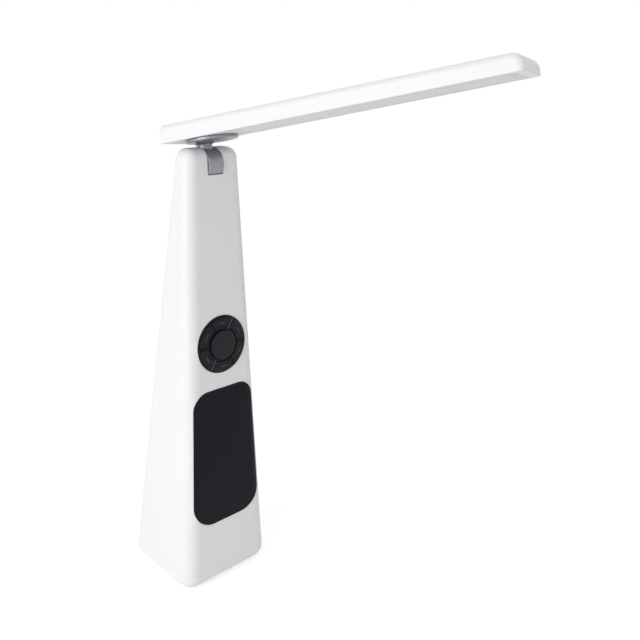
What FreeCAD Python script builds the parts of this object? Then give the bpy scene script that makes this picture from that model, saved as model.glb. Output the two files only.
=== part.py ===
"""Cordless folding desk lamp with an LED bar, in millimetres.

The origin is the middle of the base on the table, +Z is up and the keys face -Y.
A tapered tower carries a fork at its top. A drum tilts in the fork, and the LED bar
turns on the round plate above the drum. Six keys and a power button form a disc on
the tower's front, over a dark display window.
"""
import FreeCAD
import Part
import Sketcher
import math
import os
import re
from FreeCAD import Placement, Rotation, Vector

doc = FreeCAD.newDocument("desk_lamp")
sheet = doc.addObject("Spreadsheet::Sheet", "Sizes")

SIZES = [
    # Tower
    ("tower_height", 262.0, "table to the top of the fork"),
    ("base_width", 64.5, "tower across, at the table"),
    ("base_depth", 60.8, "tower front to back, at the table"),
    ("base_corner", 9.0, "corner radius at the table"),
    ("top_width", 35.6, "tower across, at its top"),
    ("top_depth", 13.8, "tower front to back, at its top"),
    ("top_corner", 6.2, "corner radius at the top"),
    ("top_round", 6.0, "rounding of the upper rim"),
    ("corner_share", 0.45, "most of the top depth that a corner or rim rounding takes"),
    ("wall", 2.4, "wall of the tower"),
    ("top_wall", 2.6, "roof of the fork's ears"),
    ("overcut", 1.0, "how far a cutting form runs past the face it opens"),
    # Foot
    ("foot_stand", 0.8, "tray above the table"),
    ("foot_round", 7.4, "rounding of the foot"),
    ("foot_share", 0.9, "most of the tray's side that the foot's rounding takes"),
    ("seam_height", 12.0, "seam between tray and tower"),
    ("tray_floor", 3.0, "floor of the tray"),
    ("lip_height", 4.0, "tray lip inside the tower"),
    ("lip_wall", 1.6, "wall of the lip"),
    ("lip_gap", 0.15, "lip to tower"),
    ("sole_width", 45.0, "rubber sole across"),
    ("sole_depth", 41.0, "rubber sole front to back"),
    ("sole_corner", 7.0, "corner radius of the sole"),
    ("sole_sink", 0.6, "sole let into the tray"),
    ("sole_gap", 0.2, "sole to the side of its recess"),
    ("post_inset", 6.5, "tray screws from the sides of the steel plate"),
    ("pillar_radius", 4.0, "tray pillar round each screw"),
    ("post_radius", 5.2, "tower post over each pillar"),
    ("post_length", 12.0, "tower post"),
    ("web_thick", 2.0, "web from a post to the side wall"),
    ("ballast_width", 50.0, "steel plate across"),
    ("ballast_depth", 44.0, "steel plate front to back"),
    ("ballast_corner", 8.0, "corner radius of the steel plate"),
    ("ballast_thick", 12.0, "steel plate"),
    ("ballast_gap", 0.3, "steel plate to pillars, posts and the side of its bed"),
    ("ballast_bed", 0.5, "bed of the steel plate in the tray's floor"),
    # Screws
    ("base_screw_radius", 1.5, "tray screw shank"),
    ("base_screw_head", 2.8, "tray screw head radius"),
    ("base_screw_cap", 2.0, "tray screw head height"),
    ("base_screw_length", 12.0, "tray screw shank length"),
    ("small_screw_radius", 1.0, "board screw shank"),
    ("small_screw_head", 1.9, "board screw head radius"),
    ("small_screw_cap", 1.3, "board screw head height"),
    ("small_screw_length", 5.5, "board screw shank length"),
    ("screw_gap", 0.05, "shank to hole"),
    ("head_gap", 0.3, "screw head to counterbore"),
    ("screw_seat", 3.0, "material under a tray screw head"),
    ("head_crown", 0.8, "flat of a screw head, as a share of its radius"),
    ("head_side", 0.6, "straight side of a screw head, as a share of its height"),
    # Battery
    ("cell_radius", 9.2, "rechargeable cell"),
    ("cell_height", 65.0, "cell with its button"),
    ("cell_button", 2.8, "radius of the cell's button"),
    ("cell_button_rise", 1.2, "height of the cell's button"),
    ("cell_gap", 0.2, "cell to cradle"),
    ("cradle_wall", 1.6, "cradle wall and floor"),
    ("cradle_height", 16.0, "cradle cup"),
    ("cradle_ear", 15.0, "cradle screws from the cell's axis"),
    ("cradle_ear_radius", 3.6, "half width of a cradle ear, and its end beyond the screw"),
    ("cradle_ear_corner", 3.2, "corners of a cradle ear"),
    # Display
    ("window_bottom", 41.9, "lower edge of the window"),
    ("window_top", 126.5, "upper edge of the window"),
    ("window_low_width", 49.8, "window across its lower edge"),
    ("window_high_width", 41.6, "window across its upper edge"),
    ("window_low_round", 14.0, "lower corners of the window"),
    ("window_high_round", 10.0, "upper corners of the window"),
    ("window_proud", 0.5, "window in front of the tower"),
    ("window_recess", 1.2, "window let into the wall"),
    ("window_bed", 0.1, "adhesive film behind the window"),
    ("window_gap", 0.15, "window to the side of its recess"),
    ("window_land", 5.0, "ledge that carries the window"),
    ("display_side", 2.4, "display to the ledge at the window's narrow end"),
    ("display_end", 8.0, "display to the ledge at both ends of the window"),
    ("display_thick", 5.0, "display"),
    ("display_corner", 1.5, "corners of the display"),
    ("display_tape", 0.15, "display to window"),
    ("display_border", 2.0, "display board beyond the display"),
    ("board_thick", 1.6, "every circuit board in the tower"),
    # Control disc
    ("disc_space", 9.5, "window to disc"),
    ("disc_radius", 17.0, "disc"),
    ("disc_proud", 0.5, "disc ring in front of the tower"),
    ("disc_bevel", 0.4, "bevel of the disc ring"),
    ("disc_gap", 0.15, "disc to the tower's hole"),
    ("flange_thick", 1.2, "flange of the disc ring behind the wall"),
    ("flange_width", 13.0, "flange across"),
    ("flange_end", 5.0, "flange beyond the middle of a boss"),
    ("flange_corner", 4.3, "corners of the flange"),
    ("key_count", 6.0, "keys round the disc"),
    ("ring_inner", 1.1, "ring between power button and key openings"),
    ("ring_outer", 0.9, "ring beyond the key openings"),
    ("spoke", 0.9, "spoke between two keys"),
    ("key_gap", 0.2, "key to its opening"),
    ("key_proud", 0.7, "key in front of the ring"),
    ("key_corner", 0.8, "corners of a key"),
    ("key_bevel", 0.4, "bevel of the key's front"),
    ("key_rim", 0.25, "key flange beyond its opening"),
    ("key_flange", 1.0, "thickness of a key flange"),
    ("key_slack", 0.2, "key flange to ring"),
    ("key_travel", 0.5, "travel of a key"),
    ("key_stem", 1.2, "stem radius"),
    ("key_stem_length", 0.6, "stem behind the flange"),
    ("mark_length", 4.4, "raised bar on a key"),
    ("mark_width", 0.8, "raised bar across"),
    ("mark_corner", 0.36, "ends of the raised bar"),
    ("mark_rise", 0.2, "raised bar in front of the key"),
    ("button_radius", 8.6, "power button"),
    ("button_gap", 0.25, "power button to ring"),
    ("button_proud", 1.6, "power button in front of the ring"),
    ("button_round", 0.8, "rounding of the power button"),
    ("switch_side", 3.6, "switch body"),
    ("switch_height", 1.6, "switch body height"),
    ("switch_plunger", 0.8, "switch plunger radius"),
    ("switch_rise", 0.5, "switch plunger height"),
    ("switch_gap", 0.1, "stem to plunger when pressed"),
    ("boss_radius", 2.5, "screw boss of a board"),
    ("sleeve_wall", 1.2, "ring sleeve over a boss"),
    ("sleeve_gap", 0.15, "ring sleeve to boss and board"),
    ("boss_space", 5.0, "edge of the disc to the middle of a boss"),
    ("control_width", 30.0, "key board across"),
    ("control_end", 4.0, "key board beyond the middle of a boss"),
    ("control_corner", 3.0, "corners of the key board"),
    # Charging and driver board
    ("main_gap", 1.0, "tower posts to the driver board's lower edge"),
    ("main_width", 25.0, "driver board across"),
    ("main_tall", 56.0, "driver board along the rear face"),
    ("main_corner", 2.0, "corners of the driver board"),
    ("main_depth", 9.0, "driver board behind the rear face"),
    ("main_boss_across", 9.0, "driver board bosses from the middle"),
    ("main_boss_up", 8.0, "driver board bosses above its middle"),
    ("socket_edge", 7.0, "driver board's lower edge to the inlet"),
    ("socket_width", 8.94, "inlet shell across"),
    ("socket_tall", 3.26, "inlet shell height"),
    ("socket_corner", 1.55, "corners of the inlet shell"),
    ("socket_wall", 0.3, "inlet shell wall"),
    ("socket_inset", 0.4, "inlet mouth behind the rear face"),
    ("socket_floor", 1.2, "closed end of the inlet"),
    ("socket_gap", 0.3, "inlet shell to the tower's hole"),
    ("tongue_width", 6.7, "contact tongue across"),
    ("tongue_thick", 0.7, "contact tongue"),
    ("tongue_corner", 0.2, "edges of the contact tongue"),
    ("tongue_inset", 0.6, "contact tongue behind the mouth"),
    ("coil_side", 6.0, "choke on the driver board"),
    ("coil_corner", 1.2, "corners of the choke"),
    ("coil_rise", 2.8, "choke above the board"),
    ("coil_edge", 8.0, "driver board's upper edge to the choke"),
    ("chip_side", 5.0, "chip on the driver board"),
    ("chip_corner", 0.3, "corners of a chip"),
    ("chip_rise", 1.2, "chip above the board"),
    ("chip_across", 6.0, "chips from the board's middle line"),
    ("chip_drop", 6.0, "chips below the board's middle"),
    # Friction hinge
    ("pivot_drop", 8.8, "tilt axis below the top of the fork"),
    ("pivot_shift", -0.6, "tilt axis from the tower's middle, front to back"),
    ("slot_width", 10.4, "slot between the ears"),
    ("slot_wall", 2.0, "ear wall beside the slot"),
    ("slot_clear", 0.4, "drum to the bottom of the slot"),
    ("drum_radius", 8.4, "drum"),
    ("drum_bevel", 0.25, "bevel of the drum's ends"),
    ("washer_room", 0.3, "drum end to ear"),
    ("washer_thick", 0.2, "friction washer"),
    ("washer_radius", 6.0, "friction washer"),
    ("pin_radius", 2.0, "hinge pin"),
    ("pin_gap", 0.05, "hinge pin to drum, ears and washers"),
    ("pin_head", 3.6, "radius of the pin's head"),
    ("pin_cap", 2.2, "height of the pin's head"),
    ("pin_tail", 0.5, "pin beyond the nut"),
    ("spring_thick", 0.5, "spring washer"),
    ("spring_count", 2.0, "spring washers under the nut"),
    ("spring_radius", 4.0, "spring washer"),
    ("nut_flats", 7.0, "nut across its flats"),
    ("nut_height", 2.4, "nut"),
    ("stack_gap", 0.05, "between the pieces stacked on the pin"),
    ("rest_tilt", 16.5, "bar above level as it stands, degrees"),
    # Neck and swivel
    ("swivel_gap", 0.3, "round plate to bar"),
    ("neck_radius", 4.3, "neck on the drum"),
    ("neck_top", 5.9, "flared top of the neck"),
    ("neck_reach", 1.65, "straight neck beyond the drum"),
    ("flare_rise", 1.0, "flare of the neck"),
    ("swivel_ahead", 7.6, "swivel axis in front of the tilt axis"),
    ("plate_radius", 14.0, "round plate"),
    ("plate_thick", 1.5, "round plate"),
    ("plate_bevel", 0.4, "bevel of the plate's rim"),
    ("post_outer", 4.0, "swivel post"),
    ("post_bore", 2.5, "wire way through the swivel post"),
    ("post_sink", 1.1, "swivel post in the round plate"),
    ("post_top", 4.6, "swivel post above the bar's underside"),
    ("post_gap", 0.05, "swivel post to bar and rings"),
    ("boss_ring", 7.5, "radius of the bar's bearing ring"),
    ("boss_rise", 0.8, "bearing ring above the bar's base"),
    ("ring_thick", 0.5, "swivel washer"),
    ("ring_radius", 6.8, "swivel washer"),
    ("clip_thick", 0.8, "swivel clip"),
    ("clip_radius", 6.2, "swivel clip"),
    ("rest_swivel", 17.5, "bar turned to the side as it stands, degrees"),
    # Bar
    ("bar_front", 170.0, "swivel axis to the bar's free end"),
    ("bar_rear", 22.7, "swivel axis to the bar's rear end"),
    ("bar_width", 33.0, "bar"),
    ("bar_high", 9.5, "bar at its rear end"),
    ("bar_low", 8.25, "bar at its free end"),
    ("nose_round", 6.0, "rounding of the bar's free end"),
    ("tail_round", 3.5, "rounding of the bar's rear end"),
    ("bar_round", 3.0, "rounding along the bar's sides and corners"),
    ("bar_wall", 1.6, "side and rear wall of the bar"),
    ("nose_wall", 5.0, "wall at the bar's free end"),
    ("room_corner", 3.0, "corners of the room inside the bar"),
    ("bar_roof", 6.2, "inside roof above the underside"),
    ("sheet_thick", 1.6, "base of the bar"),
    ("sheet_gap", 0.1, "base to cover"),
    ("light_start", 20.0, "swivel axis to the diffuser"),
    ("light_margin", 9.0, "diffuser to the bar's free end"),
    ("light_side", 4.5, "diffuser to the side of the bar"),
    ("light_corner", 3.0, "corners of the diffuser"),
    ("light_gap", 0.1, "diffuser to base"),
    ("light_rim", 1.5, "diffuser flange beyond its opening"),
    ("light_flange", 0.8, "diffuser flange"),
    ("spreader_rim", 1.0, "aluminium strip beyond the diffuser's opening"),
    ("spreader_thick", 1.0, "aluminium strip"),
    ("strip_inset", 2.0, "LED board inside the diffuser's opening"),
    ("strip_thick", 1.0, "LED board"),
    ("strip_corner", 1.0, "corners of the LED board and the aluminium strip"),
    ("led_length", 3.5, "LED"),
    ("led_width", 2.8, "LED across"),
    ("led_height", 0.7, "LED"),
    ("led_rows", 2.0, "rows of LEDs"),
    ("led_row_space", 11.0, "between the rows"),
    ("led_count", 14.0, "LEDs in a row"),
    ("bar_boss", 2.6, "screw boss under the bar's roof"),
    ("bar_boss_side", 6.0, "bar screws from the side of the bar"),
    ("bar_boss_back", 5.0, "bar screws behind the swivel axis"),
    ("bar_screw_head", 1.9, "bar screw head radius"),
    ("bar_screw_cap", 1.0, "bar screw head height"),
    ("bar_screw_length", 4.5, "bar screw with its head"),
]

# Lengths closer than this are one length, and edges closer than this lie in one place
SAME = 1e-6
NEAR = 1e-3

NAMES = {name for name, number, note in SIZES}
for row, (name, number, note) in enumerate(SIZES, start=1):
    sheet.set(f"A{row}", name)
    sheet.set(f"B{row}", str(number))
    sheet.set(f"C{row}", note)
    sheet.setAlias(f"B{row}", name)
doc.recompute()


# Formulas

def formula(text):
    """A formula in size names, with each name pointed at its cell."""
    def cell(word):
        return "Sizes." + word.group(0) if word.group(0) in NAMES else word.group(0)
    return re.sub(r"[a-z][a-z_]*", cell, text)


def value(text):
    """The number that a formula in size names gives."""
    return float(sheet.evalExpression(formula(text)))


def depth_at(height):
    """Formula for the tower's depth at a height."""
    return f"(base_depth - (base_depth - top_depth) * ({height}) / tower_height)"


TOP_CORNER = "min(top_corner; corner_share * top_depth)"
TOP_ROUND = "min(top_round; corner_share * top_depth)"
FOOT_ROUND = "min(foot_round; foot_share * (seam_height - foot_stand))"
LIP_CLEAR = "(seam_height + lip_height + lip_gap)"
MEET = "(foot_stand + tray_floor + ballast_thick + ballast_gap)"
DECK = "(foot_stand + tray_floor + ballast_thick)"
POST_ACROSS = "(ballast_width / 2 - post_inset)"
POST_ALONG = "(ballast_depth / 2 - post_inset)"
DISPLAY_WIDTH = "(window_high_width - 2 * (window_land + display_side))"
DISPLAY_TALL = "(window_top - window_bottom - 2 * (window_land + display_end))"
DISC_HEIGHT = "(window_top + disc_space + disc_radius)"
BOSS_OFFSET = "(disc_radius + boss_space)"
FLANGE_HALF = f"({BOSS_OFFSET} + flange_end)"
KEY_INNER = "(button_radius + button_gap + ring_inner)"
KEY_OUTER = "(disc_radius - ring_outer)"
KEY_MIDDLE = f"({KEY_INNER} + {KEY_OUTER}) / 2"
RING_BACK = "(wall + flange_thick)"
KEY_BACK = f"({RING_BACK} + key_slack + key_flange + key_stem_length)"
CONTROL_FACE = f"({KEY_BACK} + key_travel + switch_gap + switch_rise + switch_height)"
CELL_SHIFT = "((window_recess + display_tape + display_thick) - (main_depth + coil_rise)) / 2"
MAIN_HEIGHT = f"({MEET} + post_length + main_gap + main_tall / 2)"
SOCKET_DROP = "(main_tall / 2 - socket_edge)"
COIL_UP = "(main_tall / 2 - coil_edge)"
PIVOT_HEIGHT = "(tower_height - pivot_drop)"
DRUM_HALF = "(slot_width / 2 - washer_room)"
EAR_FACE = "(slot_width / 2 + slot_wall)"
NUT_FACE = f"({EAR_FACE} + (spring_thick + stack_gap) * spring_count + stack_gap)"
FLARE_START = "(drum_radius + neck_reach)"
PLATE_TOP = f"({FLARE_START} + flare_rise + plate_thick)"
HEAD_RISE = f"({PLATE_TOP} + swivel_gap)"
BASE_TOP = "(sheet_thick + boss_rise)"
ROOM_MIDDLE = "((bar_rear - bar_wall) - (bar_front - nose_wall)) / 2"
ROOM_LENGTH = "((bar_rear - bar_wall) + (bar_front - nose_wall))"
ROOM_WIDTH = "(bar_width - 2 * bar_wall)"
BAR_BOSS_ACROSS = "(bar_width / 2 - bar_boss_side)"
LIGHT_END = "(bar_front - light_margin)"
LIGHT_MIDDLE = f"-(light_start + {LIGHT_END}) / 2"
LIGHT_LENGTH = f"({LIGHT_END} - light_start)"
LIGHT_WIDTH = "(bar_width - 2 * light_side)"


# Places

def front_face(height):
    """Frame on the front face at a height: X across, Y up the face, Z out of it."""
    lean = math.degrees(math.atan2(value("base_depth - top_depth"), 2 * value("tower_height")))
    middle = Vector(0, -value(depth_at(height)) / 2, value(height))
    return Placement(middle, Rotation(Vector(1, 0, 0), 90 - lean))


def rear_face(height):
    """Frame on the rear face at a height: Y up the face, Z out of it."""
    return Placement(Vector(), Rotation(Vector(0, 0, 1), 180)) * front_face(height)


def neck_frame():
    """Frame on the tilt axis: X along it, Z up the neck."""
    pivot = Vector(0, value("pivot_shift"), value(PIVOT_HEIGHT))
    return Placement(pivot, Rotation(Vector(1, 0, 0), -value("rest_tilt")))


def head_frame():
    """Frame on the bar's underside: Z is the swivel axis, -Y runs to the free end."""
    turn = Rotation(Vector(0, 0, 1), value("rest_swivel"))
    axis = Vector(0, -value("swivel_ahead"), value(HEAD_RISE))
    return neck_frame() * Placement(axis, turn)


def shifted(x, y, z):
    """Move by three formulas."""
    return Placement(Vector(value(x), value(y), value(z)), Rotation())


# Sketches

def new_body(name):
    """An empty body."""
    return doc.addObject("PartDesign::Body", name)


def new_sketch(body, name, plane="XY_Plane", across="0", up="0", out="0"):
    """A sketch on one of the body's own planes, moved by formulas."""
    sketch = body.newObject("Sketcher::SketchObject", name)
    support = [item for item in body.Origin.OriginFeatures if item.Role == plane]
    sketch.AttachmentSupport = (support[0], "")
    sketch.MapMode = "FlatFace"
    for axis, text in zip("xyz", (across, up, out)):
        sketch.setExpression("AttachmentOffset.Base." + axis, formula(text))
    return sketch


def dimension(sketch, text, *what):
    """Add a dimension and bind it to a formula."""
    index = sketch.addConstraint(Sketcher.Constraint(*what, value(text)))
    sketch.setExpression(f"Constraints[{index}]", formula(text))


def circle(sketch, radius):
    """A circle round the sketch's origin."""
    ring = sketch.addGeometry(Part.Circle(Vector(), Vector(0, 0, 1), value(radius)), False)
    sketch.addConstraint(Sketcher.Constraint("Coincident", ring, 3, -1, 1))
    dimension(sketch, radius, "Radius", ring)


def rounded_rectangle(sketch, width, depth, corner):
    """A rectangle with rounded corners, centred on the sketch's origin."""
    half, deep, round_off = value(width) / 2, value(depth) / 2, value(corner)
    inner_x, inner_y = half - round_off, deep - round_off
    corners = [(inner_x, -inner_y, 270), (inner_x, inner_y, 0), (-inner_x, inner_y, 90),
               (-inner_x, -inner_y, 180)]
    arcs = []
    for x, y, start in corners:
        ring = Part.Circle(Vector(x, y, 0), Vector(0, 0, 1), round_off)
        arc = Part.ArcOfCircle(ring, math.radians(start), math.radians(start + 90))
        arcs.append(sketch.addGeometry(arc, False))
    sides = []
    ends = [(-inner_x, -deep, inner_x, -deep), (half, -inner_y, half, inner_y),
            (inner_x, deep, -inner_x, deep), (-half, inner_y, -half, -inner_y)]
    for x1, y1, x2, y2 in ends:
        line = Part.LineSegment(Vector(x1, y1, 0), Vector(x2, y2, 0))
        sides.append(sketch.addGeometry(line, False))
    for index in range(4):
        sketch.addConstraint(Sketcher.Constraint("Tangent", sides[index], 2, arcs[index], 1))
        following = sides[(index + 1) % 4]
        sketch.addConstraint(Sketcher.Constraint("Tangent", arcs[index], 2, following, 1))
    for index in range(1, 4):
        sketch.addConstraint(Sketcher.Constraint("Equal", arcs[0], arcs[index]))
    sketch.addConstraint(Sketcher.Constraint("Symmetric", sides[0], 1, sides[0], 2, -2))
    sketch.addConstraint(Sketcher.Constraint("Symmetric", sides[1], 1, sides[1], 2, -1))
    sketch.addConstraint(Sketcher.Constraint("Horizontal", sides[2]))
    sketch.addConstraint(Sketcher.Constraint("Vertical", sides[3]))
    dimension(sketch, width, "DistanceX", sides[3], 1, sides[1], 1)
    dimension(sketch, depth, "DistanceY", sides[0], 1, sides[2], 1)
    dimension(sketch, corner, "Radius", arcs[0])


def polygon(sketch, corners):
    """Straight lines through corners, each corner given by two formulas."""
    points = [Vector(value(x), value(y), 0) for x, y in corners]
    lines = []
    for here, there in zip(points, points[1:] + points[:1]):
        lines.append(sketch.addGeometry(Part.LineSegment(here, there), False))
    for index, line in enumerate(lines):
        following = lines[(index + 1) % len(lines)]
        sketch.addConstraint(Sketcher.Constraint("Coincident", line, 2, following, 1))
    for line, point, texts in zip(lines, points, corners):
        measures = (("DistanceX", point.x, texts[0], -2), ("DistanceY", point.y, texts[1], -1))
        for kind, number, text, axis in measures:
            if abs(number) < SAME:
                sketch.addConstraint(Sketcher.Constraint("PointOnObject", line, 1, axis))
            elif number > 0:
                dimension(sketch, text, kind, -1, 1, line, 1)
            else:
                dimension(sketch, f"-({text})", kind, line, 1, -1, 1)


def sector(sketch, inner, outer, side):
    """One of the evenly spaced sectors of a ring; side is the gap to the line between two."""
    half_turn = math.pi / value("key_count")
    gap, radii = value(side), (value(inner), value(outer))
    low, high = math.pi / 2 - half_turn, math.pi / 2 + half_turn
    arcs = []
    for radius in radii:
        skew = math.asin(gap / radius)
        ring = Part.Circle(Vector(), Vector(0, 0, 1), radius)
        arcs.append(sketch.addGeometry(Part.ArcOfCircle(ring, low + skew, high - skew), False))
    guides, sides = [], []
    for end, angle in ((1, low), (2, high)):
        far = Vector(math.cos(angle), math.sin(angle), 0) * radii[1]
        guides.append(sketch.addGeometry(Part.LineSegment(Vector(), far), True))
        start = sketch.getPoint(arcs[0], end)
        stop = sketch.getPoint(arcs[1], end)
        sides.append(sketch.addGeometry(Part.LineSegment(start, stop), False))
    for arc, radius in zip(arcs, (inner, outer)):
        sketch.addConstraint(Sketcher.Constraint("Coincident", arc, 3, -1, 1))
        dimension(sketch, radius, "Radius", arc)
    for end, guide, line, angle in zip((1, 2), guides, sides, ("-", "+")):
        sketch.addConstraint(Sketcher.Constraint("Coincident", guide, 1, -1, 1))
        sketch.addConstraint(Sketcher.Constraint("PointOnObject", guide, 2, arcs[1]))
        turn = sketch.addConstraint(Sketcher.Constraint("Angle", -1, 1, guide, 1,
                                                        low if angle == "-" else high))
        sketch.setExpression(f"Constraints[{turn}]", formula(f"90 {angle} 180 / key_count"))
        sketch.addConstraint(Sketcher.Constraint("Coincident", line, 1, arcs[0], end))
        sketch.addConstraint(Sketcher.Constraint("Coincident", line, 2, arcs[1], end))
        sketch.addConstraint(Sketcher.Constraint("Parallel", line, guide))
        dimension(sketch, side, "Distance", line, 1, guide)


# Features

def pad(body, name, sketch, length, back=False):
    """Thicken a sketch."""
    feature = body.newObject("PartDesign::Pad", name)
    feature.Profile = sketch
    feature.setExpression("Length", formula(length))
    feature.Reversed = back
    doc.recompute()
    return feature


def pocket(body, name, sketch, length, back=False):
    """Cut a sketch into the body, and make sure that it did."""
    before = body.Shape.Volume
    feature = body.newObject("PartDesign::Pocket", name)
    feature.Profile = sketch
    feature.setExpression("Length", formula(length))
    feature.Reversed = back
    doc.recompute()
    if body.Shape.Volume > before - SAME:
        raise ValueError(f"{body.Name}: {name} cuts nothing")
    return feature


def revolve(body, name, corners, plane="XZ_Plane"):
    """Turn a closed half outline round the sketch's upright axis."""
    sketch = new_sketch(body, name + "_outline", plane)
    polygon(sketch, corners)
    feature = body.newObject("PartDesign::Revolution", name)
    feature.Profile = sketch
    feature.ReferenceAxis = (sketch, ["V_Axis"])
    feature.Angle = 360
    doc.recompute()
    return feature


def picked_edges(form, wanted):
    """Numbers of the edges that a test picks."""
    picked = [number for number, edge in enumerate(form.Shape.Edges, start=1) if wanted(edge)]
    if not picked:
        raise ValueError(f"{form.Name} has no such edge")
    return picked


def fillet(body, name, radius, wanted):
    """Round the edges of the body's last feature that a test picks."""
    last = body.Tip
    feature = body.newObject("PartDesign::Fillet", name)
    feature.Base = (last, [f"Edge{number}" for number in picked_edges(last, wanted)])
    feature.setExpression("Radius", formula(radius))
    doc.recompute()
    return feature


def bevel(body, name, size, wanted):
    """Bevel the edges of the body's last feature that a test picks."""
    last = body.Tip
    feature = body.newObject("PartDesign::Chamfer", name)
    feature.Base = (last, [f"Edge{number}" for number in picked_edges(last, wanted)])
    feature.setExpression("Size", formula(size))
    doc.recompute()
    return feature


def rounded(name, base, radius, wanted):
    """Round the edges of a form that a test picks."""
    feature = doc.addObject("Part::Fillet", name)
    feature.Base = base
    feature.Edges = [(number, value(radius), value(radius)) for number in picked_edges(base, wanted)]
    doc.recompute()
    return feature


def level_at(height):
    """Test for edges that lie flat at a height in the body's own frame."""
    number = value(height)
    return lambda edge: max(abs(edge.BoundBox.ZMin - number), abs(edge.BoundBox.ZMax - number)) < NEAR


def cut(name, base, *tools):
    """Take tools away from a base, one after another."""
    for number, tool in enumerate(tools, start=1):
        step = doc.addObject("Part::Cut", f"{name}_{number}")
        step.Base = base
        step.Tool = tool
        base = step
    doc.recompute()
    return base


def fuse(name, *shapes):
    """Join shapes into one."""
    joined = doc.addObject("Part::MultiFuse", name)
    joined.Shapes = list(shapes)
    joined.Refine = True
    doc.recompute()
    return joined


def common(name, *shapes):
    """What shapes have in common."""
    shared = doc.addObject("Part::MultiCommon", name)
    shared.Shapes = list(shapes)
    doc.recompute()
    return shared


def rod(name, radius, length, place):
    """A cylinder along the Z axis of a place."""
    cylinder = doc.addObject("Part::Cylinder", name)
    cylinder.setExpression("Radius", formula(radius))
    cylinder.setExpression("Height", formula(length))
    cylinder.Placement = place
    doc.recompute()
    return cylinder


def plate(name, width, depth, corner, thick, out="0", back=False):
    """A plate with rounded corners on the body's XY plane."""
    body = new_body(name)
    outline = new_sketch(body, name + "_outline", out=out)
    rounded_rectangle(outline, width, depth, corner)
    pad(body, name + "_pad", outline, thick, back)
    return body


def disc_ring(name, inner, outer, thick):
    """A flat ring on the XY plane."""
    body = new_body(name)
    revolve(body, name + "_turn", [(inner, "0"), (outer, "0"), (outer, thick), (inner, thick)])
    return body


PARTS = {}


def keep(label, piece, place=None):
    """Name a finished sub-part and put it in its place."""
    piece.Label = label
    if place is not None:
        piece.Placement = place
    PARTS[label] = piece
    return piece


def mixed_group(label, pairs):
    """Copies of pieces, each in its own place, as separate solids of one sub-part."""
    copies = []
    for master, place in pairs:
        copies.append(master.Shape.transformed(place.toMatrix(), copy=True))
    piece = doc.addObject("Part::Feature", label + "_group")
    piece.Shape = Part.makeCompound(copies)
    return keep(label, piece)


def group(label, master, places):
    """Several copies of one piece as separate solids of one sub-part."""
    return mixed_group(label, [(master, place) for place in places])


def four_posts():
    """Middles of the four tray screws."""
    across, along = value(POST_ACROSS), value(POST_ALONG)
    return [(x, y) for x in (-across, across) for y in (-along, along)]


# Tower and foot

def flat_block(low, high):
    """Solid between two outlines with as many corners, all its sides flat."""
    sides = list(zip(low, low[1:] + low[:1], high[1:] + high[:1], high))
    outlines = [list(side) for side in sides] + [low, high]
    faces = [Part.Face(Part.makePolygon(outline + outline[:1])) for outline in outlines]
    block = Part.makeSolid(Part.makeShell(faces))
    if block.Volume < 0:
        block.reverse()
    return block


def tower_corner(inset):
    """The cone that rounds the tower's corner at +X +Y, with all faces moved inwards.

    Gives its tip, a point on its axis, and a point on each of the two lines where it touches
    the tower's side and rear.
    """
    moved = value(inset)
    radius = value("base_corner") - moved
    tip_height = radius / value(f"(base_corner - {TOP_CORNER}) / tower_height")
    corner = Vector(value("base_width") / 2 - moved, value("base_depth") / 2 - moved, 0)
    lean = Vector(value("(base_width - top_width) / 2 / tower_height"),
                  value("(base_depth - top_depth) / 2 / tower_height"), -1)
    tip = corner - lean * tip_height
    side = Vector(1, 0, lean.x).normalize()
    rear = Vector(0, 1, lean.y).normalize()
    middle = corner - Vector(radius / side.x, radius / rear.y, 0)
    return tip, middle, middle + side * radius, middle + rear * radius


def tower_form(name, inset, low, high):
    """The tower's tapered form between two heights, its faces moved inwards by inset.

    Its four sides are flat and lean by two different angles, so a cone that touches both
    neighbours rounds each corner. A core with a notch at each corner takes the four cones.
    """
    tip, *ends = tower_corner(inset)

    def level(height, end):
        return tip + (end - tip) * ((height - tip.z) / (end.z - tip.z))

    levels = [[level(value(height), end) for end in ends] for height in (low, high)]
    touch = (ends[1] - ends[0]).Length
    axis = ends[0] - tip
    spread = touch / math.sqrt(axis.Length ** 2 - touch ** 2)
    near = (levels[1][0] - tip).Length / 2
    far = (levels[0][0] - tip).Length + touch
    start = tip + Vector(axis).normalize() * near
    cone = Part.makeCone(near * spread, far * spread, far - near, start, axis)
    wedge = []
    core = []
    for middle, side, rear in levels:
        out, back = (side - middle) * 2, (rear - middle) * 2
        wedge.append([middle, middle + out, middle + out + back, middle + back])
        quarter = [side, middle, rear]
        ring = []
        for x, y in ((1, 1), (-1, 1), (-1, -1), (1, -1)):
            around = quarter if x * y > 0 else quarter[::-1]
            ring += [Vector(point.x * x, point.y * y, point.z) for point in around]
        core.append(ring)
    corner = cone.common(flat_block(*wedge))
    corners = [corner, corner.mirror(Vector(), Vector(1, 0, 0))]
    corners += [piece.mirror(Vector(), Vector(0, 1, 0)) for piece in corners]
    form = doc.addObject("Part::Feature", name)
    form.Shape = flat_block(*core).multiFuse(corners).removeSplitter().Solids[0]
    return form


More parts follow.
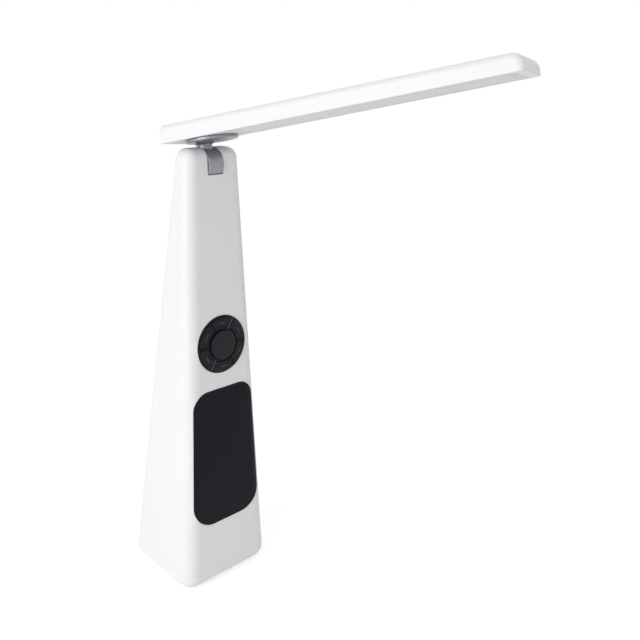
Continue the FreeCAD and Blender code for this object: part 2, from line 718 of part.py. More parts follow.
def slot_form(name, grow):
    """The slot of the fork: a trough round the tilt axis, open at the top."""
    body = new_body(name)
    left = f"-(slot_width / 2 + {grow})"
    trough = new_sketch(body, name + "_trough", "YZ_Plane", "pivot_shift", PIVOT_HEIGHT, left)
    circle(trough, f"drum_radius + slot_clear + {grow}")
    pad(body, name + "_trough_pad", trough, f"slot_width + 2 * ({grow})")
    mouth = new_sketch(body, name + "_mouth", "YZ_Plane", "0", PIVOT_HEIGHT, left)
    polygon(mouth, [("-base_depth / 2", "0"), ("base_depth / 2", "0"),
                    ("base_depth / 2", "pivot_drop + overcut"),
                    ("-base_depth / 2", "pivot_drop + overcut")])
    pad(body, name + "_mouth_pad", mouth, f"slot_width + 2 * ({grow})")
    return body


def window_form(name, grow):
    """The window's rounded outline as a block that reaches out through the tower's front."""
    body = new_body(name)
    outline = new_sketch(body, name + "_outline", "XZ_Plane")
    low, high = f"window_bottom - ({grow})", f"window_top + ({grow})"
    wide, narrow = f"window_low_width / 2 + {grow}", f"window_high_width / 2 + {grow}"
    polygon(outline, [(f"-({wide})", low), (wide, low), (narrow, high), (f"-({narrow})", high)])
    pad(body, name + "_pad", outline, "base_depth")
    for end, height, radius in (("low", low, "window_low_round"), ("high", high, "window_high_round")):
        level = level_at(height)
        fillet(body, f"{name}_{end}", f"{radius} + {grow}",
               lambda edge: level(edge) and edge.BoundBox.YLength > edge.BoundBox.XLength)
    return body


def disc_bosses():
    """Places of the two bosses that carry the key board, in the front frame."""
    return [shifted("0", side + BOSS_OFFSET, "0") for side in ("", "-")]


def board_bosses():
    """Places of the two bosses that carry the driver board, in the rear frame."""
    return [shifted(side + "main_boss_across", "main_boss_up", "0") for side in ("", "-")]


def tower_shell():
    """Tapered tower with a forked top; its bosses and posts are what the cavity leaves standing."""
    outside = rounded("tower_rim", tower_form("tower_outside", "0", "seam_height", "tower_height"),
                      TOP_ROUND, level_at("tower_height"))
    cavity = tower_form("tower_cavity", "wall", "seam_height - overcut", "tower_height - top_wall")
    standing = [slot_form("slot_housing", "slot_wall")]
    holes = [slot_form("slot", "0")]
    for number, (x, y) in enumerate(four_posts(), start=1):
        foot = Placement(Vector(x, y, value(MEET)), Rotation())
        standing.append(rod(f"post_{number}", "post_radius", "post_length", foot))
        web = doc.addObject("Part::Box", f"web_{number}")
        web.setExpression("Length", formula(f"base_width / 2 - {POST_ACROSS}"))
        web.setExpression("Width", formula("web_thick"))
        web.setExpression("Height", formula(f"{MEET} + post_length - {LIP_CLEAR}"))
        start = x if x > 0 else -value("base_width") / 2
        web.Placement = Placement(Vector(start, y - value("web_thick") / 2, value(LIP_CLEAR)), Rotation())
        standing.append(web)
        holes.append(rod(f"post_hole_{number}", "base_screw_radius + screw_gap",
                         "base_screw_length - screw_seat + overcut", foot))
    sides = (("disc", front_face(DISC_HEIGHT), disc_bosses(), CONTROL_FACE),
             ("main", rear_face(MAIN_HEIGHT), board_bosses(), "main_depth"))
    for side, face, places, seat in sides:
        for number, place in enumerate(places, start=1):
            end = face * place * shifted("0", "0", f"-({seat})")
            standing.append(rod(f"{side}_boss_{number}", "boss_radius", f"{seat} - wall / 2", end))
            holes.append(rod(f"{side}_boss_hole_{number}", "small_screw_radius + screw_gap",
                             f"{seat} - wall", end))
    room = cut("tower_room", cavity, fuse("tower_standing", *standing))
    recess = cut("window_recess_form", window_form("window_seat", "window_gap"),
                 tower_form("window_floor", "window_recess", "seam_height", "tower_height"))
    holes += [recess, window_form("window_way", "-window_land")]
    face = front_face(DISC_HEIGHT) * shifted("0", "0", f"-({RING_BACK} + overcut)")
    holes.append(rod("disc_way", "disc_radius + disc_gap", f"2 * {RING_BACK}", face))
    inlet = plate("inlet_way", "socket_width + 2 * socket_gap", "socket_tall + 2 * socket_gap",
                  "socket_corner + socket_gap", "main_depth", "-main_depth / 2")
    inlet.Placement = rear_face(MAIN_HEIGHT) * shifted("0", f"-{SOCKET_DROP}", "0")
    holes.append(inlet)
    pin_way = rod("pin_way", "pin_radius + pin_gap", "top_width", pin_frame(-value("top_width") / 2))
    holes.append(pin_way)
    keep("tower_shell", cut("tower", outside, room, *holes))


def base_tray():
    """Rounded foot with a lip inside the tower and four pillars for the screws."""
    outside = rounded("tray_round", tower_form("tray_outside", "0", "foot_stand", "seam_height"),
                      FOOT_ROUND, level_at("foot_stand"))
    lip_in = "wall + lip_gap + lip_wall"
    lip = tower_form("tray_lip", "wall + lip_gap", "foot_stand + tray_floor", "seam_height + lip_height")
    room = tower_form("tray_room", lip_in, "foot_stand + tray_floor",
                      "seam_height + lip_height + overcut")
    bed = plate("ballast_seat", "ballast_width + 2 * ballast_gap", "ballast_depth + 2 * ballast_gap",
                "ballast_corner + ballast_gap", "ballast_bed + ballast_thick + ballast_gap",
                "foot_stand + tray_floor - ballast_bed")
    tray = cut("tray_hollow", fuse("tray_block", outside, lip), room, bed)
    pillars, holes = [], []
    for number, (x, y) in enumerate(four_posts(), start=1):
        foot = Placement(Vector(x, y, value("foot_stand")), Rotation())
        pillars.append(rod(f"pillar_{number}", "pillar_radius", f"{MEET} - foot_stand", foot))
        holes.append(rod(f"pillar_hole_{number}", "base_screw_radius + screw_gap", MEET, foot))
        holes.append(rod(f"pillar_bore_{number}", "base_screw_head + head_gap",
                         f"{MEET} - foot_stand - screw_seat", foot))
    holes.append(plate("sole_way", "sole_width + 2 * sole_gap", "sole_depth + 2 * sole_gap",
                       "sole_corner + sole_gap", "foot_stand + sole_sink"))
    keep("base_tray", cut("tray", fuse("tray_solid", tray, *pillars), *holes))


def foot_pieces():
    """Rubber sole, steel plate and tray screws."""
    keep("base_pad", plate("sole", "sole_width", "sole_depth", "sole_corner", "foot_stand + sole_sink"))
    steel = plate("ballast", "ballast_width", "ballast_depth", "ballast_corner",
                  "ballast_bed + ballast_thick", "foot_stand + tray_floor - ballast_bed")
    for number, (x, y) in enumerate((("-", "-"), ("-", ""), ("", "-"), ("", "")), start=1):
        hole = new_sketch(steel, f"ballast_hole_{number}", across=x + POST_ACROSS,
                          up=y + POST_ALONG, out=DECK)
        circle(hole, "pillar_radius + ballast_gap")
        pocket(steel, f"ballast_way_{number}", hole, "ballast_bed + ballast_thick")
    for number, side in enumerate(("", "-"), start=1):
        tapped = new_sketch(steel, f"ballast_tapped_{number}", across=side + "cradle_ear",
                            up=CELL_SHIFT, out=DECK)
        circle(tapped, "small_screw_radius + screw_gap")
        pocket(steel, f"ballast_thread_{number}", tapped, "small_screw_length")
    keep("ballast_plate", steel)
    master = screw("base_screw", "base_screw_radius", "base_screw_length", "base_screw_head",
                   "base_screw_cap")
    seat = value(f"{MEET} - screw_seat")
    places = [Placement(Vector(x, y, seat), Rotation()) for x, y in four_posts()]
    group("base_screws", master, places)


def screw(name, radius, length, head, cap):
    """A pan-head screw: its head's underside is at zero and its shank points up."""
    body = new_body(name)
    revolve(body, name + "_turn", [("0", f"-({cap})"), (f"{head} * head_crown", f"-({cap})"),
                                   (head, f"-({cap}) * head_side"), (head, "0"), (radius, "0"),
                                   (radius, f"{length} - {radius} / 2"), (f"{radius} / 2", length),
                                   ("0", length)])
    return body


def battery():
    """Upright cell in a cup that is screwed to the steel plate."""
    axis = shifted("0", CELL_SHIFT, DECK)
    cell = new_body("cell")
    shoulder = "cell_height - cell_button_rise"
    revolve(cell, "cell_turn", [("0", "0"), ("cell_radius", "0"), ("cell_radius", shoulder),
                                ("cell_button", shoulder), ("cell_button", "cell_height"),
                                ("0", "cell_height")])
    keep("battery_cell", cell, axis * shifted("0", "0", "cradle_wall"))
    cradle = new_body("cradle")
    inside, outside = "cell_radius + cell_gap", "cell_radius + cell_gap + cradle_wall"
    revolve(cradle, "cradle_turn", [("0", "0"), (outside, "0"), (outside, "cradle_height"),
                                    (inside, "cradle_height"), (inside, "cradle_wall"),
                                    ("0", "cradle_wall")])
    ears = new_sketch(cradle, "cradle_ears")
    rounded_rectangle(ears, "2 * (cradle_ear + cradle_ear_radius)", "2 * cradle_ear_radius",
                      "cradle_ear_corner")
    pad(cradle, "cradle_ears_pad", ears, "cradle_wall")
    for number, side in enumerate(("", "-"), start=1):
        hole = new_sketch(cradle, f"cradle_hole_{number}", across=side + "cradle_ear",
                          out="cradle_wall")
        circle(hole, "small_screw_radius + screw_gap")
        pocket(cradle, f"cradle_way_{number}", hole, "cradle_wall")
    keep("battery_cradle", cradle, axis)
    over = Rotation(Vector(1, 0, 0), 180)
    places = []
    for side in ("", "-"):
        places.append(axis * shifted(side + "cradle_ear", "0", "cradle_wall") * Placement(Vector(), over))
    group("cradle_screws", small_screw("cradle_screw"), places)


def small_screw(name):
    """The screw that holds each board and the cradle."""
    return screw(name, "small_screw_radius", "small_screw_length", "small_screw_head", "small_screw_cap")


# Display and control disc

def display():
    """Window that follows the tower's front and corners, with the display taped behind it."""
    skin = cut("window_skin",
               tower_form("window_front", "-window_proud", "seam_height", "tower_height"),
               tower_form("window_back", "window_recess - window_bed", "seam_height", "tower_height"))
    keep("display_window", common("window", window_form("window_block", "0"), skin))
    face = front_face("(window_bottom + window_top) / 2")
    front = "-(window_recess + display_tape)"
    block = plate("display", DISPLAY_WIDTH, DISPLAY_TALL, "display_corner", "display_thick", front, True)
    keep("display_block", block, face)
    board = plate("display_card", f"{DISPLAY_WIDTH} + 2 * display_border",
                  f"{DISPLAY_TALL} + 2 * display_border", "display_corner", "board_thick",
                  front + " - display_thick", True)
    keep("display_board", board, face)


def pad_frame():
    """Ring with spokes, its flange behind the wall and two sleeves over the screw bosses."""
    body = new_body("ring")
    flange = new_sketch(body, "ring_flange", out=f"-{RING_BACK}")
    rounded_rectangle(flange, "flange_width", f"2 * {FLANGE_HALF}", "flange_corner")
    pad(body, "ring_flange_pad", flange, "flange_thick")
    face = new_sketch(body, "ring_face", out=f"-{RING_BACK}")
    circle(face, "disc_radius")
    pad(body, "ring_face_pad", face, f"{RING_BACK} + disc_proud")
    bevel(body, "ring_edge", "disc_bevel", level_at("disc_proud"))
    middle = new_sketch(body, "ring_middle", out="disc_proud")
    circle(middle, "button_radius + button_gap")
    pocket(body, "ring_middle_way", middle, f"{RING_BACK} + disc_proud")
    opening = new_sketch(body, "ring_opening", out="disc_proud")
    sector(opening, KEY_INNER, KEY_OUTER, "spoke / 2")
    first = pocket(body, "ring_key_way", opening, f"{RING_BACK} + disc_proud")
    ways = body.newObject("PartDesign::PolarPattern", "ring_key_ways")
    ways.Originals = [first]
    ways.Axis = (opening, ["N_Axis"])
    ways.Angle = 360
    ways.setExpression("Occurrences", formula("key_count"))
    body.Tip = ways
    doc.recompute()
    for number, side in enumerate(("", "-"), start=1):
        sleeve = new_sketch(body, f"ring_sleeve_{number}", up=side + BOSS_OFFSET, out=f"-{RING_BACK}")
        circle(sleeve, "boss_radius + sleeve_gap + sleeve_wall")
        pad(body, f"ring_sleeve_pad_{number}", sleeve, f"{CONTROL_FACE} - {RING_BACK} - sleeve_gap",
            True)
        hole = new_sketch(body, f"ring_hole_{number}", up=side + BOSS_OFFSET, out="-wall")
        circle(hole, "boss_radius + sleeve_gap")
        pocket(body, f"ring_hole_way_{number}", hole, CONTROL_FACE)
    keep("pad_frame", body, front_face(DISC_HEIGHT))


def control_key(number):
    """A sector key: cap with a raised bar, flange behind the ring, and stem."""
    name = f"key_{number}"
    body = new_body(name)
    top = "(disc_proud + key_proud)"
    cap = new_sketch(body, name + "_cap", out=f"-({RING_BACK} + key_slack)")
    sector(cap, f"{KEY_INNER} + key_gap", f"{KEY_OUTER} - key_gap", "spoke / 2 + key_gap")
    pad(body, name + "_cap_pad", cap, f"{RING_BACK} + key_slack + {top}")
    tall = value(RING_BACK)
    fillet(body, name + "_corner", "key_corner", lambda edge: edge.BoundBox.ZLength > tall)
    bevel(body, name + "_edge", "key_bevel", level_at(top))
    rim = new_sketch(body, name + "_rim", out=f"-({RING_BACK} + key_slack)")
    sector(rim, f"{KEY_INNER} - key_rim", f"{KEY_OUTER} + key_rim", "spoke / 2 - key_rim")
    pad(body, name + "_rim_pad", rim, "key_flange", True)
    stem = new_sketch(body, name + "_stem", up=KEY_MIDDLE, out=f"-({RING_BACK} + key_slack + key_flange)")
    circle(stem, "key_stem")
    pad(body, name + "_stem_pad", stem, "key_stem_length", True)
    bar = new_sketch(body, name + "_bar", up=KEY_MIDDLE, out=top)
    rounded_rectangle(bar, "mark_length", "mark_width", "mark_corner")
    pad(body, name + "_bar_pad", bar, "mark_rise")
    turn = Rotation(Vector(0, 0, 1), key_angle(number))
    keep(name, body, front_face(DISC_HEIGHT) * Placement(Vector(), turn))


def key_angle(number):
    """Turn of a key round the disc, in degrees."""
    return (number - 1) * 360 / value("key_count")


def power_button():
    """Round button with a soft edge and a flange behind the ring."""
    body = new_body("button")
    back, top = f"-({RING_BACK} + key_slack)", "disc_proud + button_proud"
    rim = "button_radius + button_gap + key_rim"
    revolve(body, "button_turn", [("0", f"{back} - key_flange - key_stem_length"),
                                  ("key_stem", f"{back} - key_flange - key_stem_length"),
                                  ("key_stem", f"{back} - key_flange"), (rim, f"{back} - key_flange"),
                                  (rim, back), ("button_radius", back), ("button_radius", top),
                                  ("0", top)])
    fillet(body, "button_edge", "button_round", level_at(top))
    keep("power_button", body, front_face(DISC_HEIGHT))


def control_board():
    """Key board on the tower's two bosses, with a switch behind each key."""
    face = front_face(DISC_HEIGHT)
    board = plate("key_card", "control_width", f"2 * ({BOSS_OFFSET} + control_end)", "control_corner",
                  "board_thick", f"-{CONTROL_FACE}", True)
    for number, side in enumerate(("", "-"), start=1):
        hole = new_sketch(board, f"key_card_hole_{number}", up=side + BOSS_OFFSET,
                          out=f"-{CONTROL_FACE}")
        circle(hole, "small_screw_radius + screw_gap")
        pocket(board, f"key_card_way_{number}", hole, "board_thick")
    keep("control_board", board, face)
    switch = new_body("switch")
    outline = new_sketch(switch, "switch_outline")
    half = "switch_side / 2"
    polygon(outline, [(f"-{half}", f"-{half}"), (half, f"-{half}"), (half, half), (f"-{half}", half)])
    pad(switch, "switch_pad", outline, "switch_height")
    plunger = new_sketch(switch, "switch_plunger_face", out="switch_height")
    circle(plunger, "switch_plunger")
    pad(switch, "switch_plunger_pad", plunger, "switch_rise")
    seat = face * shifted("0", "0", f"-{CONTROL_FACE}")
    places = [seat]
    for number in range(1, int(value("key_count")) + 1):
        turn = Placement(Vector(), Rotation(Vector(0, 0, 1), key_angle(number)))
        places.append(seat * turn * shifted("0", KEY_MIDDLE, "0"))
    group("tact_switches", switch, places)
    under = shifted("0", "0", f"-({CONTROL_FACE} + board_thick)")
    group("control_screws", small_screw("control_screw"), [face * place * under for place in disc_bosses()])


# Charging and driver board

def main_board():
    """Driver board on the rear wall with its chips and the charging inlet."""
    face = rear_face(MAIN_HEIGHT)
    board = plate("driver_card", "main_width", "main_tall", "main_corner", "board_thick",
                  "-main_depth", True)
    for number, side in enumerate(("", "-"), start=1):
        hole = new_sketch(board, f"driver_card_hole_{number}", across=side + "main_boss_across",
                          up="main_boss_up", out="-main_depth")
        circle(hole, "small_screw_radius + screw_gap")
        pocket(board, f"driver_card_way_{number}", hole, "board_thick")
    keep("main_board", board, face)
    under = shifted("0", "0", "-(main_depth + board_thick)")
    group("board_screws", small_screw("board_screw"), [face * place * under for place in board_bosses()])
    socket = plate("inlet", "socket_width", "socket_tall", "socket_corner",
                   "main_depth - socket_inset", "-main_depth")
    mouth = new_sketch(socket, "inlet_mouth", out="-socket_inset")
    rounded_rectangle(mouth, "socket_width - 2 * socket_wall", "socket_tall - 2 * socket_wall",
                      "socket_corner - socket_wall")
    pocket(socket, "inlet_room", mouth, "main_depth - socket_inset - socket_floor")
    drop = face * shifted("0", f"-{SOCKET_DROP}", "0")
    keep("usb_socket", socket, drop)
    tongue = plate("inlet_tongue", "tongue_width", "tongue_thick", "tongue_corner",
                   "main_depth - socket_inset - socket_floor - tongue_inset",
                   "socket_floor - main_depth")
    keep("usb_tongue", tongue, drop)
    coil = plate("choke", "coil_side", "coil_side", "coil_corner", "coil_rise", back=True)
    chip = plate("chip", "chip_side", "chip_side", "chip_corner", "chip_rise", back=True)
    spots = [(coil, "0", COIL_UP)]
    spots += [(chip, side + "chip_across", "-chip_drop") for side in ("", "-")]
    pairs = [(master, face * under * shifted(across, up, "0")) for master, across, up in spots]
    mixed_group("board_parts", pairs)


# Friction hinge and neck

def pin_frame(start):
    """Frame on the tilt axis whose Z runs along +X, from a distance along the axis."""
    pivot = Vector(start, value("pivot_shift"), value(PIVOT_HEIGHT))
    return Placement(pivot, Rotation(Vector(0, 1, 0), 90))


def friction_hinge():
    """Pin across the fork, drawn tight by a nut over spring washers."""
    ear = value(EAR_FACE)
    pin = new_body("pin")
    tail = f"2 * {EAR_FACE} + ({NUT_FACE} - {EAR_FACE}) + nut_height + pin_tail"
    revolve(pin, "pin_turn", [("0", "-pin_cap"), ("pin_head", "-pin_cap"), ("pin_head", "0"),
                              ("pin_radius", "0"), ("pin_radius", tail), ("0", tail)])
    keep("hinge_pin", pin, pin_frame(-ear))
    nut = new_body("nut")
    outline = new_sketch(nut, "nut_outline")
    around = [(f"nut_flats / 2 / cos(30) * cos({angle})", f"nut_flats / 2 / cos(30) * sin({angle})")
              for angle in range(30, 390, 60)]
    polygon(outline, around)
    pad(nut, "nut_pad", outline, "nut_height")
    bore = new_sketch(nut, "nut_bore", out="nut_height")
    circle(bore, "pin_radius + pin_gap")
    pocket(nut, "nut_way", bore, "nut_height")
    keep("hinge_nut", nut, pin_frame(value(NUT_FACE)))
    friction = disc_ring("friction_washer", "pin_radius + pin_gap", "washer_radius", "washer_thick")
    middle = value(f"({DRUM_HALF} + slot_width / 2 - washer_thick) / 2")
    sides = [pin_frame(middle), pin_frame(-middle - value("washer_thick"))]
    group("friction_washers", friction, sides)
    spring = disc_ring("spring_washer", "pin_radius + pin_gap", "spring_radius", "spring_thick")
    step = value("spring_thick + stack_gap")
    count = int(value("spring_count"))
    group("spring_washers", spring,
          [pin_frame(ear + value("stack_gap") + index * step) for index in range(count)])


def hinge_knuckle():
    """Drum between the ears, with a flared neck under the round plate, which sits ahead of it."""
    body = new_body("knuckle")
    drum = new_sketch(body, "drum_outline", "YZ_Plane", out=f"-{DRUM_HALF}")
    circle(drum, "drum_radius")
    pad(body, "drum_pad", drum, f"2 * {DRUM_HALF}")
    half = value(DRUM_HALF)
    bevel(body, "drum_edge", "drum_bevel",
          lambda edge: edge.BoundBox.XLength < SAME and abs(abs(edge.BoundBox.XMin) - half) < SAME)
    under = f"({PLATE_TOP} - plate_thick)"
    revolve(body, "neck_turn", [("0", "0"), ("neck_radius", "0"), ("neck_radius", FLARE_START),
                                ("neck_top", under), ("0", under)])
    disc = new_sketch(body, "plate_outline", up="-swivel_ahead", out=under)
    circle(disc, "plate_radius")
    pad(body, "round_plate", disc, "plate_thick")
    rim = value("plate_radius")
    bevel(body, "plate_edge", "plate_bevel",
          lambda edge: level_at(under)(edge) and edge.BoundBox.XLength > 2 * rim - NEAR)
    bore = new_sketch(body, "knuckle_bore", "YZ_Plane", out=DRUM_HALF)
    circle(bore, "pin_radius + pin_gap")
    pocket(body, "knuckle_way", bore, f"2 * {DRUM_HALF}")
    socket = new_sketch(body, "post_socket", up="-swivel_ahead", out=PLATE_TOP)
    circle(socket, "post_outer + post_gap")
    pocket(body, "post_way", socket, "post_sink")
    keep("hinge_knuckle", body, neck_frame())


def swivel():
    """Hollow post in the round plate, with the washer and clip that hold the bar on it."""
    up = neck_frame() * shifted("0", "-swivel_ahead", HEAD_RISE)
    post = disc_ring("post", "post_bore", "post_outer", "post_sink + swivel_gap + post_top")
    foot = shifted("0", "-swivel_ahead", f"{PLATE_TOP} - post_sink")
    keep("swivel_post", post, neck_frame() * foot)
    washer = disc_ring("swivel_ring", "post_outer + post_gap", "ring_radius", "ring_thick")
    keep("swivel_washer", washer, up * shifted("0", "0", f"{BASE_TOP} + stack_gap"))
    clip = disc_ring("retaining_ring", "post_outer + post_gap", "clip_radius", "clip_thick")
    keep("swivel_clip", clip, up * shifted("0", "0", f"{BASE_TOP} + 2 * stack_gap + ring_thick"))


# Bar

def bar_screws():
    """Places of the two bar screws behind the swivel axis."""
    return [shifted(side + BAR_BOSS_ACROSS, "bar_boss_back", "0") for side in ("", "-")]


def upper_end(edge):
    """Whether an edge runs straight across the top of the bar."""
    box = edge.BoundBox
    return box.YLength < SAME and box.ZLength < SAME and box.ZMin > value("bar_low") / 2


def head_cover():
    """Upper shell of the bar, a little thinner towards its free end."""
    body = new_body("cover")
    side = new_sketch(body, "cover_side", "YZ_Plane", out="-bar_width / 2")
    polygon(side, [("-bar_front", "0"), ("bar_rear", "0"), ("bar_rear", "bar_high"),
                   ("-bar_front", "bar_low")])
    pad(body, "cover_pad", side, "bar_width")
    fillet(body, "cover_nose", "nose_round", lambda edge: upper_end(edge) and edge.BoundBox.YMax < 0)
    fillet(body, "cover_tail", "tail_round", lambda edge: upper_end(edge) and edge.BoundBox.YMin > 0)
    fillet(body, "cover_sides", "bar_round",
           lambda edge: edge.BoundBox.XLength < SAME and edge.BoundBox.ZMax > NEAR)
    room = new_sketch(body, "cover_room", up=ROOM_MIDDLE)
    rounded_rectangle(room, ROOM_WIDTH, ROOM_LENGTH, "room_corner")
    pocket(body, "cover_hollow", room, "bar_roof", True)
    for number, across in enumerate(("", "-"), start=1):
        boss = new_sketch(body, f"cover_boss_{number}", across=across + BAR_BOSS_ACROSS,
                          up="bar_boss_back", out="sheet_thick")
        circle(boss, "bar_boss")
        pad(body, f"cover_boss_pad_{number}", boss, "bar_roof - sheet_thick")
        hole = new_sketch(body, f"cover_hole_{number}", across=across + BAR_BOSS_ACROSS,
                          up="bar_boss_back", out="sheet_thick")
        circle(hole, "small_screw_radius + screw_gap")
        pocket(body, f"cover_way_{number}", hole, "bar_roof - sheet_thick", True)
    keep("head_cover", body, head_frame())


def head_base():
    """Lower sheet of the bar with the diffuser's opening and the swivel's bearing ring."""
    body = new_body("base_sheet")
    outline = new_sketch(body, "sheet_outline", up=ROOM_MIDDLE)
    rounded_rectangle(outline, f"{ROOM_WIDTH} - 2 * sheet_gap", f"{ROOM_LENGTH} - 2 * sheet_gap",
                      "room_corner - sheet_gap")
    pad(body, "sheet_pad", outline, "sheet_thick")
    bearing = new_sketch(body, "sheet_bearing")
    circle(bearing, "boss_ring")
    pad(body, "sheet_bearing_pad", bearing, BASE_TOP)
    bore = new_sketch(body, "sheet_bore", out=BASE_TOP)
    circle(bore, "post_outer + post_gap")
    pocket(body, "sheet_way", bore, BASE_TOP)
    light = new_sketch(body, "sheet_light", up=LIGHT_MIDDLE, out="sheet_thick")
    rounded_rectangle(light, LIGHT_WIDTH, LIGHT_LENGTH, "light_corner")
    pocket(body, "sheet_light_way", light, "sheet_thick")
    for number, across in enumerate(("", "-"), start=1):
        hole = new_sketch(body, f"sheet_hole_{number}", across=across + BAR_BOSS_ACROSS,
                          up="bar_boss_back", out="sheet_thick")
        circle(hole, "small_screw_radius + screw_gap")
        pocket(body, f"sheet_hole_way_{number}", hole, "sheet_thick")
        sink = new_sketch(body, f"sheet_sink_{number}", across=across + BAR_BOSS_ACROSS,
                          up="bar_boss_back")
        circle(sink, "bar_screw_head + screw_gap")
        pocket(body, f"sheet_sink_way_{number}", sink, "bar_screw_cap", True)
    keep("head_base", body, head_frame())


def light_engine():
    """Diffuser, aluminium strip, LED board and LEDs, from the underside up to the roof."""
    place = head_frame()
    diffuser = new_body("light")
    face = new_sketch(diffuser, "light_face", up=LIGHT_MIDDLE)
    rounded_rectangle(face, f"{LIGHT_WIDTH} - 2 * light_gap", f"{LIGHT_LENGTH} - 2 * light_gap",
                      "light_corner - light_gap")
    pad(diffuser, "light_face_pad", face, "sheet_thick")
    rim = new_sketch(diffuser, "light_rim_outline", up=LIGHT_MIDDLE, out="sheet_thick")
    rounded_rectangle(rim, f"{LIGHT_WIDTH} + 2 * light_rim", f"{LIGHT_LENGTH} + 2 * light_rim",
                      "light_corner + light_rim")
    pad(diffuser, "light_rim_pad", rim, "light_flange")
    keep("diffuser", diffuser, place)
    strips = (("heat_spreader", "spreader", f"{LIGHT_WIDTH} + 2 * spreader_rim", "spreader_thick",
               "bar_roof"),
              ("led_strip", "strip", f"{LIGHT_WIDTH} - 2 * strip_inset", "strip_thick",
               "(bar_roof - spreader_thick)"))
    for label, name, width, thick, roof in strips:
        body = new_body(name)
        outline = new_sketch(body, name + "_outline", up=LIGHT_MIDDLE, out=roof)
        rounded_rectangle(outline, width, LIGHT_LENGTH, "strip_corner")
        pad(body, name + "_pad", outline, thick, True)
        keep(label, body, place)
    led = doc.addObject("Part::Box", "led")
    for side, size in (("Length", "led_width"), ("Width", "led_length"), ("Height", "led_height")):
        led.setExpression(side, formula(size))
    doc.recompute()
    rows, count = int(value("led_rows")), int(value("led_count"))
    pitch = value(LIGHT_LENGTH) / count
    seat = value("bar_roof - spreader_thick - strip_thick - led_height")
    places = []
    for row in range(rows):
        across = (row - (rows - 1) / 2) * value("led_row_space") - value("led_width") / 2
        for index in range(count):
            along = -value("light_start") - (index + 0.5) * pitch - value("led_length") / 2
            places.append(place * Placement(Vector(across, along, seat), Rotation()))
    group("leds", led, places)
    screw_master = screw("bar_screw", "small_screw_radius", "bar_screw_length - bar_screw_cap",
                         "bar_screw_head", "bar_screw_cap")
    rise = shifted("0", "0", "bar_screw_cap")
    group("head_screws", screw_master, [place * spot * rise for spot in bar_screws()])


def main():
    """Build every sub-part, test it and write it."""
    tower_shell()
    base_tray()
    foot_pieces()
    battery()
    display()
    pad_frame()
    for number in range(1, int(value("key_count")) + 1):
        control_key(number)
    power_button()
    control_board()
    main_board()
    friction_hinge()
    hinge_knuckle()
    swivel()
    head_cover()
    head_base()
    light_engine()
    doc.recompute()
    for item in doc.Objects:
        if "Invalid" in item.State or "Error" in item.State:
            raise ValueError(f"{item.Name} failed: {item.State}")
    for label, piece in PARTS.items():
        if piece.Shape.isNull() or not piece.Shape.isValid() or not piece.Shape.Solids:
            raise ValueError(f"{label} has no sound solid")
    os.makedirs("parts", exist_ok=True)
    for label, piece in PARTS.items():
        piece.Shape.exportStep(f"parts/{label}.step")
        print(f"{label}: {len(piece.Shape.Solids)} solid(s), {piece.Shape.Volume / 1000:.2f} cm3")


main()
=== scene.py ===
# %% [markdown]
# # A cordless folding desk lamp
#
# This lesson dresses a desk lamp that already exists as solids: a tapered white tower, a disc
# of dark keys over a dark display window, a grey hinge in the tower's fork and a slim LED bar.
# The solids have the right shapes, so Blender's work is surfaces, light and a camera.
# Everything is in metres, with the table at height zero, +Z up and the keys facing -Y.

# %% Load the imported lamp
import bpy
import math
from mathutils import Matrix, Vector

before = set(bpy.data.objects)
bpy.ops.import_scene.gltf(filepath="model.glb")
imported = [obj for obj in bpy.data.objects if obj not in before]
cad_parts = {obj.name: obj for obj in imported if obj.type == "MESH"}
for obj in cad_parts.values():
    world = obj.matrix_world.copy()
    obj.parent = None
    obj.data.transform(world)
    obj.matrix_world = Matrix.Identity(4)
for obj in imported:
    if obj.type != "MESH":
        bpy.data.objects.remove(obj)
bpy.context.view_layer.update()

# %% [markdown]
# ## Camera
#
# The camera stands a little above the lamp, to the left of its front. A camera could be aimed
# with a constraint, but three axis vectors also carry its slight roll, so they are written into
# its matrix: a camera's own X runs right, Y runs up and Z points backwards.

# %% Place the camera
SENSOR_WIDTH_MM = 36.0
LENS_MM = 43.875
NEAREST = 0.01
CAMERA_PLACE = (-0.2637, -0.3398, 0.3239)
CAMERA_RIGHT = (0.70035, -0.71069, 0.06650)
CAMERA_UP = (0.20258, 0.28723, 0.93620)
CAMERA_BACK = (-0.68445, -0.64219, 0.34513)

camera_data = bpy.data.cameras.new("studio_camera")
camera_data.sensor_width = SENSOR_WIDTH_MM
camera_data.lens = LENS_MM
camera_data.clip_start = NEAREST
camera = bpy.data.objects.new("studio_camera", camera_data)
turn = Matrix((CAMERA_RIGHT, CAMERA_UP, CAMERA_BACK)).transposed().to_4x4()
camera.matrix_world = Matrix.Translation(CAMERA_PLACE) @ turn
bpy.context.scene.collection.objects.link(camera)
bpy.context.scene.camera = camera
bpy.context.scene.view_settings.view_transform = "Standard"
print("camera at", tuple(round(v, 3) for v in camera.location))

# %% [markdown]
# ## Surround
#
# The desk lamp is lit as for a shop picture, in an even pale surround. The surround is the world's
# colour. Rays that come from the camera, or by way of a mirror or glass, see it as plain white,
# while the light that it gives stays at a moderate level.

# %% Light the surround
SURROUND_LEVEL = 0.62
SEEN_LEVEL = 1.0
WHITE = (1.0, 1.0, 1.0, 1.0)

world = bpy.data.worlds.new("studio")
bpy.context.scene.world = world
world.use_nodes = True
world_nodes = world.node_tree.nodes
world_links = world.node_tree.links


